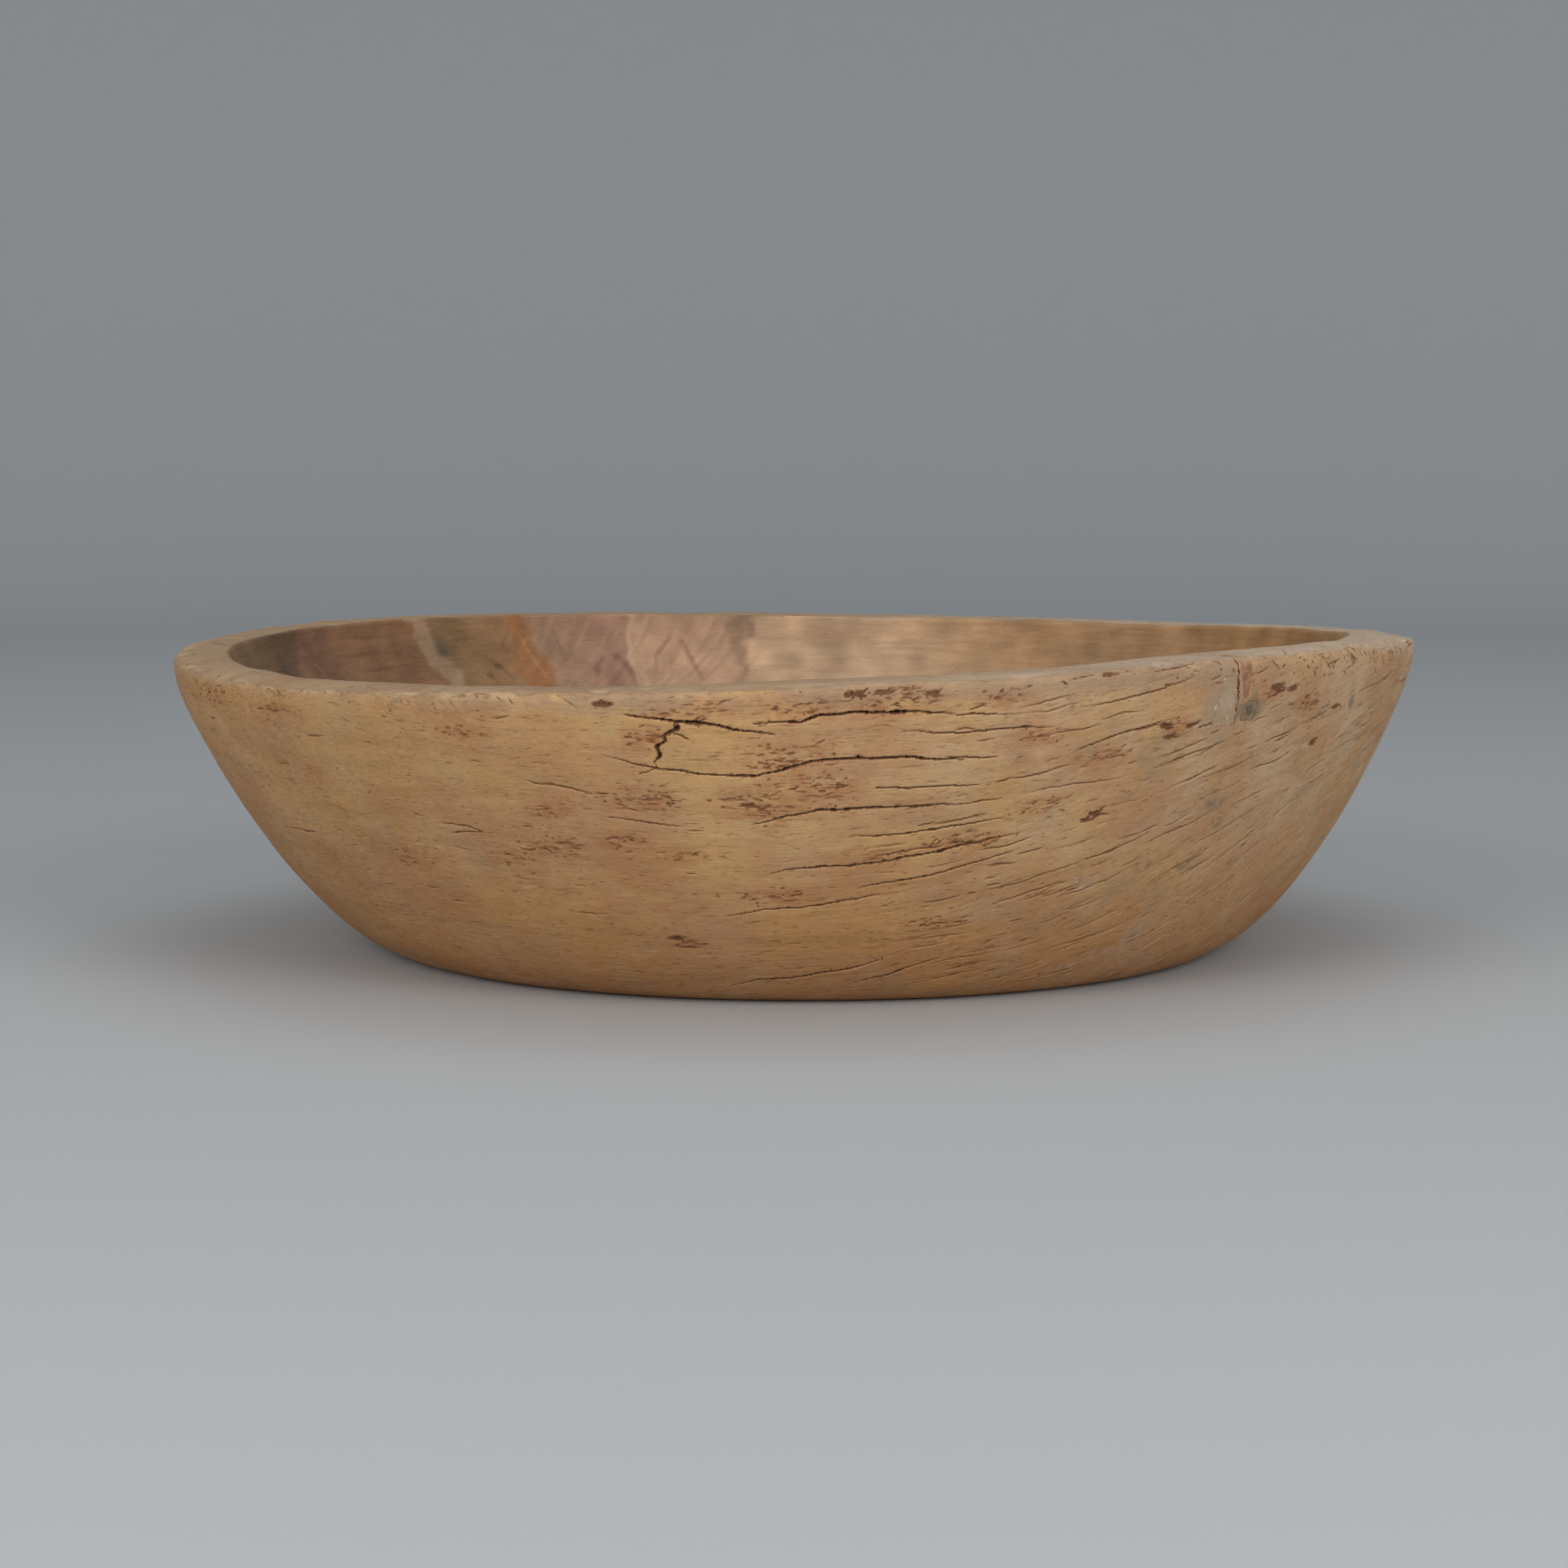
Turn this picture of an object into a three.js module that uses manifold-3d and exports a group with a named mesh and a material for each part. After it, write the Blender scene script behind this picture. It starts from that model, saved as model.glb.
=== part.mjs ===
// A large carved wooden bowl, cut from one block and dried slightly out of round,
// with an old repair at the rim: a hardwood wedge and two patches of filler.
// Units are millimetres, +Z is up, and the front of the bowl faces -Y.
import * as THREE from 'three';
import { mergeVertices } from 'three/addons/utils/BufferGeometryUtils.js';
import Module from 'manifold-3d';

// Driving dimensions of the block.
const RIM_RADIUS = 320;
const RIM_HEIGHT = 156;
const WALL = 32.5;
const WALL_CHANGE = 2.5;
const FLOOR = 38;
const FOOT_RADIUS = 205;
const FOOT_SHIFT = 4;
const OUTER_ARRIS = 5;
const INNER_ARRIS = 3;

// How the block has dried: longer and lower along one line, shorter and higher across it,
// with the whole rim tipped a little.
const WARP_LINE = degrees(53);
const OVAL = 4.5;
const SADDLE = 4.6;
const TIP = 4.7;
const TIP_TOWARDS = degrees(-52);

// The repair sits on the outer wall, just under the rim. Its outlines are drawn on the wall, clockwise:
// x runs round the rim, y runs up the wall and z points out of it, from a point on the rim's edge.
const REPAIR_ANGLE = degrees(-50);
const REPAIR_LEAN = degrees(13);
const GLUE_LINE = 0.3;
const WEDGE_DEPTH = 16;
const FILLER_DEPTH = 6;
const PLUG_DEPTH = 8;
const CLEAR_OF_WALL = 12;

const SPLIT = [[-3.2, 8], [-1.9, 8], [1.2, -8], [3.7, -20], [5.8, -35], [5.1, -35], [2.5, -20], [-0.1, -8]];
const WEDGE = [[0.2, 8], [8.6, 8], [8.4, 0], [9.2, -9], [9.3, -18.5], [8.3, -20], [6.7, -18.5], [3, -9]];
const FILLER = [
  [-9.4, -8.5], [-0.5, -8], [2.2, -20], [4, -31.5], [-2.4, -33], [-10.6, -32], [-11.6, -22], [-9.7, -14],
];
const PLUG = [[7, -23], [9.7, -21.4], [17, -20.8], [18.2, -24], [17.5, -29.5], [13.1, -30.5], [8.4, -31]];

const STEPS_ROUND = 96;
const STEPS_PER_CURVE = 8;

const wasm = await Module();
wasm.setup();

function degrees(angle) {
  return angle * Math.PI / 180;
}

function rimRadius(angle) {
  return RIM_RADIUS + OVAL * Math.cos(2 * (angle - WARP_LINE));
}

// The wall was left thicker on the right than on the left.
function wall(angle) {
  return WALL + WALL_CHANGE * Math.cos(angle);
}

function rimHeight(angle) {
  return RIM_HEIGHT - SADDLE * Math.cos(2 * (angle - WARP_LINE)) + TIP * Math.cos(angle - TIP_TOWARDS);
}

// One half section of the bowl, from the middle of the underside, up the outer wall,
// over the rim and down to the middle of the inside. x is the radius and y the height.
function section(angle) {
  const radius = rimRadius(angle);
  const height = rimHeight(angle);
  const inside = radius - wall(angle);
  const path = new THREE.Path();
  path.moveTo(0, 0);
  path.lineTo(FOOT_RADIUS, 0);
  path.bezierCurveTo(
    FOOT_RADIUS + 46, 0,
    radius - 3, 0.77 * height,
    radius, height - OUTER_ARRIS,
  );
  path.quadraticCurveTo(radius, height, radius - OUTER_ARRIS, height);
  path.lineTo(inside + INNER_ARRIS, height);
  path.quadraticCurveTo(inside, height, inside, height - INNER_ARRIS);
  path.bezierCurveTo(
    inside - 12, 0.62 * height,
    0.7 * inside, FLOOR,
    0, FLOOR,
  );
  return path;
}

// The foot sits a little off the rim's centre, so the wall leans more on one side.
function placed(point, angle) {
  const shift = FOOT_SHIFT * (1 - point.y / RIM_HEIGHT);
  return [point.x * Math.cos(angle) + shift, point.x * Math.sin(angle), point.y];
}

// The uncut block: half sections set round the middle and joined by strips of triangles.
// The first and last points of every section meet at the middle, so those rows have one triangle each.
function blockGeometry() {
  const stations = section(0).getPoints(STEPS_PER_CURVE).length;
  const positions = [];
  const indices = [];
  for (let step = 0; step < STEPS_ROUND; step += 1) {
    const angle = step / STEPS_ROUND * 2 * Math.PI;
    const points = section(angle).getPoints(STEPS_PER_CURVE);
    points.forEach((point) => positions.push(...placed(point, angle)));
  }
  for (let step = 0; step < STEPS_ROUND; step += 1) {
    const here = step * stations;
    const next = (step + 1) % STEPS_ROUND * stations;
    for (let row = 0; row < stations - 1; row += 1) {
      if (row > 0) indices.push(here + row, next + row, here + row + 1);
      if (row < stations - 2) indices.push(next + row, next + row + 1, here + row + 1);
    }
  }
  const geometry = new THREE.BufferGeometry();
  geometry.setAttribute('position', new THREE.Float32BufferAttribute(positions, 3));
  geometry.setIndex(indices);
  return geometry;
}

// Moves every corner of a clockwise outline out from the two edges that meet there.
function grown(outline, distance) {
  return outline.map((corner, index) => {
    const here = new THREE.Vector2(...corner);
    const before = new THREE.Vector2(...outline.at(index - 1));
    const after = new THREE.Vector2(...outline[(index + 1) % outline.length]);
    const arriving = here.clone().sub(before).normalize();
    const leaving = after.clone().sub(here).normalize();
    const outward = new THREE.Vector2(-arriving.y - leaving.y, arriving.x + leaving.x);
    return here.addScaledVector(outward, distance / (1 + arriving.dot(leaving))).toArray();
  });
}

// A prism through the wall at the repair, from above its surface to the given depth.
function wallPrism(outline, depth) {
  const shape = new THREE.Shape(outline.map(([x, y]) => new THREE.Vector2(x, y)));
  const geometry = new THREE.ExtrudeGeometry(shape, { depth: depth + CLEAR_OF_WALL, bevelEnabled: false });
  geometry.translate(0, 0, -depth);
  geometry.rotateX(Math.PI / 2 + REPAIR_LEAN);
  geometry.translate(0, -rimRadius(REPAIR_ANGLE), rimHeight(REPAIR_ANGLE));
  geometry.rotateZ(REPAIR_ANGLE + Math.PI / 2);
  return geometry;
}

function toManifold(source) {
  const bare = source.clone();
  bare.deleteAttribute('normal');
  bare.deleteAttribute('uv');
  const merged = mergeVertices(bare, 1e-4);
  return new wasm.Manifold(new wasm.Mesh({
    numProp: 3,
    vertProperties: new Float32Array(merged.attributes.position.array),
    triVerts: new Uint32Array(merged.index.array),
  }));
}

function toGeometry(solid) {
  const { vertProperties, triVerts } = solid.getMesh();
  const indexed = new THREE.BufferGeometry();
  indexed.setAttribute('position', new THREE.BufferAttribute(vertProperties, 3));
  indexed.setIndex(new THREE.BufferAttribute(triVerts, 1));
  const faceted = indexed.toNonIndexed();
  faceted.computeVertexNormals();
  return faceted;
}

function matt(color, roughness) {
  return new THREE.MeshStandardMaterial({ color, roughness, metalness: 0 });
}

function node(name, solid, material) {
  const mesh = new THREE.Mesh(toGeometry(solid), material);
  mesh.name = name;
  return mesh;
}

const block = toManifold(blockGeometry());

// The block with the split cut right through its wall, and a pocket for each repair piece.
function bowlBody() {
  return block
    .subtract(toManifold(wallPrism(SPLIT, WALL + CLEAR_OF_WALL)))
    .subtract(toManifold(wallPrism(grown(WEDGE, GLUE_LINE), WEDGE_DEPTH + GLUE_LINE)))
    .subtract(toManifold(wallPrism(grown(FILLER, GLUE_LINE), FILLER_DEPTH + GLUE_LINE)))
    .subtract(toManifold(wallPrism(grown(PLUG, GLUE_LINE), PLUG_DEPTH + GLUE_LINE)));
}

// A repair piece fills its pocket and is dressed flush with the wall.
function inlay(outline, depth) {
  return block.intersect(toManifold(wallPrism(outline, depth)));
}

const bowl = new THREE.Group();
bowl.add(node('bowl_body', bowlBody(), matt(0xa88459, 0.8)));
bowl.add(node('split_wedge', inlay(WEDGE, WEDGE_DEPTH), matt(0x8d5f4b, 0.75)));
bowl.add(node('split_filler', inlay(FILLER, FILLER_DEPTH), matt(0xa39684, 0.9)));
bowl.add(node('wedge_foot_plug', inlay(PLUG, PLUG_DEPTH), matt(0x57554c, 0.85)));

export default bowl;
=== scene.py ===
"""A large carved wooden bowl: one weathered block with drying cracks, and an old rim repair.

Everything is in metres, +Z up, and the front of the bowl faces -Y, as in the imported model.
"""
import itertools
import math

import bpy
import numpy as np
from mathutils import Matrix, Vector


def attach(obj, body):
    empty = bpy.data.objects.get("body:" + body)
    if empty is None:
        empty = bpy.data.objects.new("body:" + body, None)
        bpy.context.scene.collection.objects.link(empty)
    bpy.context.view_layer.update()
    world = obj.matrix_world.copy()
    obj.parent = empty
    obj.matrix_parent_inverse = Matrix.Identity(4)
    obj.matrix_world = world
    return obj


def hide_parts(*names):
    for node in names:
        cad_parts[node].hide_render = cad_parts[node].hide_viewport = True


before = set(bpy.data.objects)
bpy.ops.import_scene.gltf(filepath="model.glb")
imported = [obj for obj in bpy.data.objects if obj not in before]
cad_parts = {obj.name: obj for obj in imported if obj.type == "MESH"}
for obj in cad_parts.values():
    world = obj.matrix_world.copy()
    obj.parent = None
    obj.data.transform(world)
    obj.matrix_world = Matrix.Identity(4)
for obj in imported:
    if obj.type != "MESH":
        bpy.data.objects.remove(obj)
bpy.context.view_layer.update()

MM = 0.001
FRONT = math.radians(-90)

# The block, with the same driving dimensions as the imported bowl_body.
RIM_RADIUS = 0.320
RIM_HEIGHT = 0.156
WALL = 0.0325
WALL_CHANGE = 0.0025
FLOOR = 0.038
FOOT_RADIUS = 0.205
FOOT_SHIFT = 0.004
OUTER_ARRIS = 0.005
INNER_ARRIS = 0.003
WARP_LINE = math.radians(53)
OVAL = 0.0045
SADDLE = 0.0046
TIP = 0.0047
TIP_TOWARDS = math.radians(-52)

# The repair on the outer wall. Outlines are in millimetres on the wall, clockwise: x round the rim
# and y up the wall, from a point on the rim's edge.
REPAIR_ANGLE = math.radians(-50)
REPAIR_LEAN = math.radians(13)
SPLIT_LINE = [(-2.4, 8), (-1.2, 0), (0.5, -8), (1.3, -13), (3.0, -20), (3.5, -27), (5.4, -35)]
SPLIT_HALF_WIDTHS = [0.32, 0.28, 0.26, 0.15, 0.20, 0.12, 0.08]
SPLIT = ([(x + half, y) for (x, y), half in zip(SPLIT_LINE, SPLIT_HALF_WIDTHS)]
         + [(x - half, y) for (x, y), half in zip(SPLIT_LINE[::-1], SPLIT_HALF_WIDTHS[::-1])])
WEDGE = [(0.2, 8), (8.6, 8), (8.4, 0), (9.2, -9), (9.3, -18.5), (8.3, -20), (6.7, -18.5), (3, -9)]
FILLER = [
    (-9.4, -8.5), (-0.5, -8), (2.2, -20), (4, -31.5), (-2.4, -33), (-10.6, -32), (-11.6, -22), (-9.7, -14),
]
PLUG = [(7, -23), (9.7, -21.4), (17, -20.8), (18.2, -24), (17.5, -29.5), (13.1, -30.5), (8.4, -31)]

# The surface is a grid: columns round the bowl, closest together at the front, and rows along the section,
# which has six parts.
COLUMNS = 2048
CROWDING = 0.4
UNDERSIDE, OUTER_WALL, OUTER_EDGE, RIM_TOP, INNER_EDGE, INNER_WALL = range(6)
ROWS = (60, 350, 12, 30, 8, 160)
COARSE_SPACING = 1.6 * MM
COLUMN_SPACING = 0.6 * MM
ROW_SPACING = 0.66 * MM

# The fibres run across the bowl and sweep up towards its right end. Their slope starts as SLOPE_LEFT on the
# left and grows by SLOPE_GROWTH, e times as much for each SWEEP metres.
SLOPE_LEFT = -0.12
SLOPE_GROWTH = 0.17
SWEEP = 0.14
HEART_HEIGHT = 0.30

# Half the width of the thinnest split that the grid can show.
THIN = 0.45 * MM


def rim_radius(angle):
    return RIM_RADIUS + OVAL * np.cos(2 * (angle - WARP_LINE))


def wall(angle):
    return WALL + WALL_CHANGE * np.cos(angle)


def rim_height(angle):
    return RIM_HEIGHT - SADDLE * np.cos(2 * (angle - WARP_LINE)) + TIP * np.cos(angle - TIP_TOWARDS)


def section_curves(radius, height, thickness):
    """The half section as Bezier curves of (radius, height), from the underside's middle to the inside's."""
    inside = radius - thickness
    return [
        [(0, 0), (FOOT_RADIUS, 0)],
        [(FOOT_RADIUS, 0), (FOOT_RADIUS + 0.046, 0), (radius - 0.003, 0.77 * height),
         (radius, height - OUTER_ARRIS)],
        [(radius, height - OUTER_ARRIS), (radius, height), (radius - OUTER_ARRIS, height)],
        [(radius - OUTER_ARRIS, height), (inside + INNER_ARRIS, height)],
        [(inside + INNER_ARRIS, height), (inside, height), (inside, height - INNER_ARRIS)],
        [(inside, height - INNER_ARRIS), (inside - 0.012, 0.62 * height), (0.7 * inside, FLOOR), (0, FLOOR)],
    ]


def on_curve(controls, t):
    """Points of a Bezier curve. The controls may be arrays over the columns; t is one value per row."""
    degree = len(controls) - 1
    t = np.asarray(t)[:, None]
    weights = [math.comb(degree, k) * (1 - t) ** (degree - k) * t ** k for k in range(degree + 1)]
    return [sum(w * control[axis] for w, control in zip(weights, controls)) for axis in (0, 1)]


def run_along(across, up):
    """How far along a line each of its points is."""
    return np.concatenate([[0], np.cumsum(np.hypot(np.diff(across), np.diff(up)))])


def even_steps(controls, count, growth=1.0):
    """Values of t that divide a curve by its length. Growth above 1 lengthens the steps towards its end."""
    fine = np.linspace(0, 1, 2001)
    radius, height = on_curve(controls, fine)
    run = run_along(radius[:, 0], height[:, 0])
    wanted = run[-1] * np.linspace(0, 1, count + 1) ** growth
    return np.interp(wanted, run, fine)


class Surface:
    """The smooth bowl as arrays of rows by columns. A reach is the way along the section past the foot."""

    def __init__(self):
        turn = np.arange(COLUMNS) / COLUMNS * 2 * math.pi - math.pi
        self.angle = turn - CROWDING * np.sin(turn - FRONT)
        mean = section_curves(RIM_RADIUS, RIM_HEIGHT, WALL)
        curves = section_curves(rim_radius(self.angle), rim_height(self.angle), wall(self.angle))
        rows, parts = [], []
        for part, (controls, average, count) in enumerate(zip(curves, mean, ROWS)):
            t = even_steps(average, count, growth=1.35 if part == INNER_WALL else 1.0)
            t = t if part == UNDERSIDE else t[1:]
            rows.append([np.broadcast_to(value, (len(t), COLUMNS)) for value in on_curve(controls, t)])
            parts += [part] * len(t)
        radius, height = np.concatenate(rows, axis=1)
        self.part = np.array(parts)
        shift = FOOT_SHIFT * (1 - height / RIM_HEIGHT)
        self.points = np.stack(
            [radius * np.cos(self.angle) + shift, radius * np.sin(self.angle), height], axis=-1)
        self.radius = radius.mean(axis=1)
        self.height = height.mean(axis=1)
        self.reach = run_along(self.radius, self.height) - FOOT_RADIUS
        self.rim_edge = np.interp(RIM_TOP - 0.5, self.part, self.reach)
        self.inner_edge = np.interp(INNER_EDGE - 0.5, self.part, self.reach)
        self.past_rim_edge = (self.reach - self.rim_edge)[:, None]
        self.past_inner_edge = (self.reach - self.inner_edge)[:, None]

    def inward(self):
        """Unit vectors into the wood."""
        round_bowl = np.roll(self.points, -1, axis=1) - np.roll(self.points, 1, axis=1)
        along_section = np.gradient(self.points, axis=0)
        normal = np.cross(along_section, round_bowl)
        normal /= np.linalg.norm(normal, axis=-1, keepdims=True) + 1e-12
        normal[0] = (0, 0, 1)
        normal[-1] = (0, 0, -1)
        return normal


surface = Surface()


# --- Noise and grooves on the grid ---

def noise(points, size, seed):
    """Smooth noise from -1 to 1 at an array of 3-D points, with features about `size` across."""
    across = 64
    lattice = np.random.default_rng(seed).uniform(-1, 1, across ** 3).astype(np.float32)
    cells = points / size
    corner = np.floor(cells)
    part = (cells - corner).astype(np.float32)
    part = np.moveaxis(part * part * (3 - 2 * part), -1, 0)
    low = np.moveaxis(corner.astype(np.int32), -1, 0) % across
    high = (low + 1) % across
    total = 0
    for uppers in itertools.product((False, True), repeat=3):
        spot, weight = 0, 1
        for axis, upper in enumerate(uppers):
            spot = spot * across + (high if upper else low)[axis]
            weight = weight * (part[axis] if upper else 1 - part[axis])
        total = total + weight * lattice[spot]
    return total


def roughness(size, seed):
    """Noise over the bowl's own surface."""
    return noise(surface.points, size, seed)


def blank():
    """A field over the grid, still 0 everywhere."""
    return np.zeros(surface.points.shape[:2])


def wrapped(turn):
    """A turn brought between -180 and 180 degrees, in radians."""
    return (turn + math.pi) % (2 * math.pi) - math.pi


def rising(value, start, end):
    """0 up to start, 1 from end, and a smooth step between them."""
    share = np.clip((value - start) / (end - start), 0, 1)
    return share * share * (3 - 2 * share)


def turned(angle):
    """An angle brought into the range of the columns."""
    first = surface.angle[0]
    return (angle - first) % (2 * math.pi) + first


def row_at(reach):
    """The row of a reach, with the share of the way to the next row."""
    return np.interp(reach, surface.reach, np.arange(len(surface.reach)))


def notch(field, angle, reach, half_width, depth):
    """Raises a field to a rounded notch at each of many points on the surface."""
    columns = np.append(surface.angle, surface.angle[0] + 2 * math.pi)
    column = np.rint(np.interp(turned(angle), columns, np.arange(COLUMNS + 1))).astype(int)
    row = np.rint(row_at(reach)).astype(int)
    rows_out = int(np.max(half_width) / ROW_SPACING) + 1
    columns_out = int(np.max(half_width) / COLUMN_SPACING) + 1
    for down in range(-rows_out, rows_out + 1):
        for along in range(-columns_out, columns_out + 1):
            at_row = np.clip(row + down, 0, len(surface.reach) - 1)
            at_column = (column + along) % COLUMNS
            turn = wrapped(surface.angle[at_column] - angle)
            away = np.hypot(turn * surface.radius[at_row], surface.reach[at_row] - reach)
            value = depth * np.clip(1 - (away / half_width) ** 2, 0, 1)
            np.maximum.at(field, (at_row, at_column), value)


def reach_at(height, angle, parts=(OUTER_WALL, OUTER_EDGE)):
    """The reach of a height on the outer wall, or on the given parts, allowing for a higher or lower rim."""
    rows = np.flatnonzero(np.isin(surface.part, parts))
    rows = rows[np.argsort(surface.height[rows])]
    height = height * surface.height.max() / rim_height(angle)
    return np.interp(height, surface.height[rows], surface.reach[rows])


def fibre_rise(x, height):
    """How far a fibre has risen at x; they run flatter near the rim."""
    swept = SLOPE_LEFT * x + SLOPE_GROWTH * SWEEP * np.exp(x / SWEEP)
    return swept * (1 - 0.5 * rising(height, 0.06, 0.17))


def grain_plane(angle, reach):
    """The height at which the fibre through a place on the surface started."""
    radius = np.interp(reach, surface.reach, surface.radius)
    height = np.interp(reach, surface.reach, surface.height)
    return height - fibre_rise(radius * np.cos(angle), height)


def grain_heading(angle, reach):
    """Unit direction of the grain at places on the surface, as (round the bowl, along the section)."""
    small = 0.5 * MM
    radius = np.interp(reach, surface.reach, surface.radius)
    round_bowl = grain_plane(angle + small / radius, reach) - grain_plane(angle - small / radius, reach)
    up_wall = grain_plane(angle, reach + small) - grain_plane(angle, reach - small)
    size = np.hypot(round_bowl, up_wall) + 1e-12
    return up_wall / size, -round_bowl / size


def checks(field, draw, angle, reach, length, half_width, depth, wander=0.12):
    """Opens drying checks that start at the given places and follow the grain."""
    step = 0.4 * MM
    count = np.maximum(length / step, 2).astype(int)
    sideways = np.zeros(len(angle))
    for number in range(count.max()):
        going = number < count
        ahead, up = grain_heading(angle, reach)
        sideways = 0.9 * sideways + wander * draw.normal(size=len(angle))
        ahead, up = ahead - up * sideways, up + ahead * sideways
        radius = np.interp(reach, surface.reach, surface.radius)
        angle = angle + step * ahead / radius
        reach = reach + step * up
        share = np.sin(math.pi * np.minimum((number + 1) / (count + 1), 1)) ** 0.6
        if going.any():
            notch(field, angle[going], reach[going], np.maximum(half_width * share, THIN)[going],
                  (depth * share)[going])


def random_checks(field, draw, angle, reach, length, half_width, depth, wander):
    """A check at each place, of the mean length in metres, and half width and depth in millimetres."""
    count = len(angle)
    checks(field, draw, angle, reach, draw.gamma(2.0, length / 2, count),
           draw.uniform(*half_width, count) * MM, draw.uniform(*depth, count) * MM, wander)


def smoothed(draw, count, window):
    """Random values that change little from one to the next."""
    return np.convolve(draw.normal(size=count + window - 1), np.ones(window) / window, mode="valid")


def crack(field, draw, corners, half_width, depth, parts=(OUTER_WALL, OUTER_EDGE)):
    """Opens one crack through corners given as (degrees round the bowl, millimetres up the wall)."""
    degrees_round, up = np.array(corners, float).T
    angle = np.radians(degrees_round)
    reach = reach_at(up * MM, angle, parts)
    run = run_along(angle * RIM_RADIUS, reach)
    fine = np.arange(0, run[-1], 0.3 * MM)
    share = np.sin(math.pi * (fine + 1e-4) / (run[-1] + 2e-4)) ** 0.5
    jitter = smoothed(draw, len(fine), 25) * MM
    opening = 0.6 + np.abs(smoothed(draw, len(fine), 11))
    notch(field, np.interp(fine, run, angle), np.interp(fine, run, reach) + jitter,
          np.maximum(half_width * share * opening, 0.40 * MM), depth * share * np.minimum(opening, 1.2))


def splits(field, angle, reach, lean, length, depths):
    """Short straight splits up the wall, leaning round the bowl, with their depths at even steps."""
    for share, depth in zip(np.linspace(0, 1, len(depths)), depths):
        notch(field, angle + lean * share * length / RIM_RADIUS, reach + share * length, THIN, depth)


def hairs(field, draw, corners):
    """Short splits that stand across a crack, here and there along it."""
    degrees_round, up = np.array(corners, float).T
    count = max(1, int(np.ptp(degrees_round) * 0.45))
    along = draw.uniform(0, len(up) - 1, count)
    angle = np.radians(np.interp(along, np.arange(len(up)), degrees_round))
    reach = reach_at(np.interp(along, np.arange(len(up)), up) * MM, angle)
    length = draw.normal(0, 1.8, count) * MM
    lean = draw.normal(0, 1.2, count)
    splits(field, angle, reach, lean, length, np.linspace(0.9, 0.2, 8) * MM)


# --- The mesh ---

def ring_steps():
    """For each row, the columns between two of its vertices: a power of two, larger near the middle, where
    the first and last rows have one vertex each."""
    spacing = 2 * math.pi * surface.radius / COLUMNS
    near_rim = (surface.part == INNER_WALL) & (surface.reach < surface.rim_edge + 0.09)
    coarse = np.isin(surface.part, (UNDERSIDE, INNER_WALL)) & ~near_rim
    wanted = np.where(coarse, COARSE_SPACING / np.maximum(spacing, 1e-6), 1)
    steps = 2 ** np.clip(np.log2(np.maximum(wanted, 1)).astype(int), 0, int(math.log2(COLUMNS)) - 3)
    for row in range(1, len(steps)):
        steps[row] = max(steps[row], steps[row - 1] // 2)
    for row in range(len(steps) - 2, -1, -1):
        steps[row] = max(steps[row], steps[row + 1] // 2)
    steps[[0, -1]] = COLUMNS
    return steps


def faced(*corners):
    """Faces with these corners, one row each."""
    return np.stack(corners, axis=1)


def ring_faces(rings):
    """Quads between neighbouring rings of the same count, and threes of triangles where the count halves."""
    quads, triangles = [], []
    for low, high in zip(rings, rings[1:]):
        low_next, high_next = np.roll(low, -1), np.roll(high, -1)
        if len(low) == len(high):
            quads.append(faced(low, low_next, high_next, high))
        elif len(low) == 2 * len(high):
            middle = low[1::2]
            triangles += [faced(low[0::2], middle, high), faced(middle, high_next, high),
                          faced(middle, np.roll(low[0::2], -1), high_next)]
        else:
            middle = high[1::2]
            triangles += [faced(low, middle, high[0::2]), faced(low, low_next, middle),
                          faced(low_next, np.roll(high[0::2], -1), middle)]
    return quads, triangles


def surface_mesh(name, points, attributes):
    """One closed mesh of the whole grid, with an attribute on its vertices for each named array."""
    steps = ring_steps()
    keep = np.zeros(points.shape[:2], bool)
    for row, step in enumerate(steps):
        keep[row, ::step] = True
    number = np.cumsum(keep).reshape(keep.shape) - 1
    first, *rings, last = [number[row, ::step] for row, step in enumerate(steps)]
    quads, triangles = ring_faces(rings)
    triangles.append(faced(np.repeat(first, len(rings[0])), np.roll(rings[0], -1), rings[0]))
    triangles.append(faced(rings[-1], np.roll(rings[-1], -1), np.repeat(last, len(rings[-1]))))
    quads, triangles = np.concatenate(quads), np.concatenate(triangles)
    mesh = bpy.data.meshes.new(name)
    mesh.vertices.add(int(keep.sum()))
    mesh.vertices.foreach_set("co", points[keep].astype(np.float32).ravel())
    corners = np.concatenate([quads.ravel(), triangles.ravel()]).astype(np.int32)
    mesh.loops.add(len(corners))
    mesh.loops.foreach_set("vertex_index", corners)
    starts = np.concatenate([np.arange(len(quads)) * 4, len(quads) * 4 + np.arange(len(triangles)) * 3])
    mesh.polygons.add(len(starts))
    mesh.polygons.foreach_set("loop_start", starts.astype(np.int32))
    mesh.update(calc_edges=True)
    for label, values in attributes.items():
        kind, held_in = ("FLOAT", "value") if values.ndim == 2 else ("FLOAT_VECTOR", "vector")
        layer = mesh.attributes.new(label, kind, "POINT")
        layer.data.foreach_set(held_in, values[keep].astype(np.float32).ravel())
    mesh.shade_smooth()
    return mesh


# --- The shape of the worn surface ---

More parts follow.
